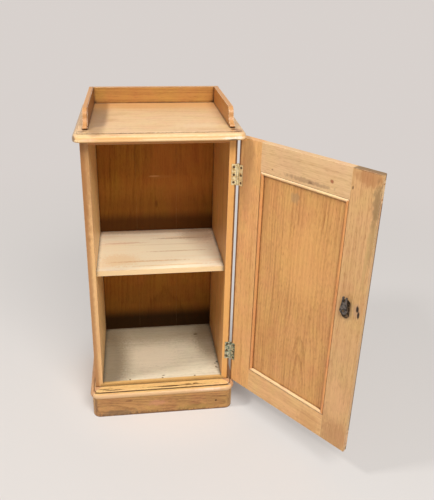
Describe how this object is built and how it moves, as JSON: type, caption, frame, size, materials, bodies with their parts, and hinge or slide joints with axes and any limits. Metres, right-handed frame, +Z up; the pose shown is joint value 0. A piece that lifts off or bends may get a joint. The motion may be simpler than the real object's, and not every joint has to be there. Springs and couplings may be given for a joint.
{
  "type": "bedside pot cupboard",
  "caption": "Tall narrow bedside cupboard with a three-quarter gallery on top, a shelf inside, a moulded plinth and a hinged panelled door.",
  "frame": {"origin": "on the floor, midway across, straight below the plane of the cupboard's front edges", "axes": "+X to the right seen from the front, +Y towards the back, +Z up"},
  "size_m": [0.5988, 0.5444, 0.811],
  "materials": {
    "plinth_wood": "worn wax",
    "carcase_wood": "waxed",
    "block_wood": "bare sawn",
    "floor_wood": "bare, faded grey",
    "shelf_wood": "thin wax",
    "back_wood": "waxed, in shade",
    "top_wood": "waxed",
    "iron": "rusted",
    "door_wood": "waxed",
    "wedge_wood": "waxed end grain",
    "panel_wood": "waxed",
    "bead_wood": "waxed",
    "bright_brass": "worn bright",
    "green_brass": "verdigris",
    "catch_iron": "dark, rusted",
    "knob_brass": "aged"
  },
  "bodies": {
    "cupboard": {"plinth_front": "plinth_wood", "plinth_left": "plinth_wood", "plinth_right": "plinth_wood", "plinth_back": "plinth_wood", "plinth_blocks": "block_wood", "base_moulding_front": "plinth_wood", "base_moulding_left": "plinth_wood", "base_moulding_right": "plinth_wood", "bottom_board": "floor_wood", "side_left": "carcase_wood", "side_right": "carcase_wood", "shelf": "shelf_wood", "top_rail": "carcase_wood", "back_board_left": "back_wood", "back_board_middle": "back_wood", "back_board_right": "back_wood", "back_nails": "iron", "bottom_nails": "iron", "top_board": "top_wood", "top_blocks": "block_wood", "gallery_back": "top_wood", "gallery_left": "top_wood", "gallery_right": "top_wood", "gallery_nails": "iron", "hinge_upper_leaf_carcase": "bright_brass", "hinge_upper_pin": "bright_brass", "hinge_upper_screws_carcase": "bright_brass", "hinge_lower_leaf_carcase": "green_brass", "hinge_lower_pin": "green_brass", "hinge_lower_screws_carcase": "green_brass"},
    "door": {"door_stile_hinge": "door_wood", "door_stile_lock": "door_wood", "door_rail_top": "door_wood", "door_rail_bottom": "door_wood", "door_wedges": "wedge_wood", "door_panel": "panel_wood", "inner_bead_bottom": "bead_wood", "inner_bead_right": "bead_wood", "inner_bead_top": "bead_wood", "inner_bead_left": "bead_wood", "outer_bead_bottom": "bead_wood", "outer_bead_right": "bead_wood", "outer_bead_top": "bead_wood", "outer_bead_left": "bead_wood", "hinge_upper_leaf_door": "bright_brass", "hinge_upper_screws_door": "bright_brass", "hinge_lower_leaf_door": "green_brass", "hinge_lower_screws_door": "green_brass", "catch_plate": "catch_iron", "catch_screws": "catch_iron", "catch_rose": "knob_brass", "catch_rose_pins": "knob_brass"},
    "catch": {"catch_spindle": "catch_iron", "catch_collar": "catch_iron", "catch_tongue": "catch_iron", "catch_knob": "knob_brass"}
  },
  "joints": [
    {"name": "door_hinge", "type": "hinge", "parent": "cupboard", "child": "door", "pos_m": [0.1779, -0.00075, 0.4], "axis": [0, 0, 1], "range_deg": [-128, 60]},
    {"name": "catch_turn", "type": "hinge", "parent": "door", "child": "catch", "pos_m": [0.37113, -0.24686, 0.444], "axis": [0.788, 0.6157, 0], "range_deg": [0, 90]}
  ]
}
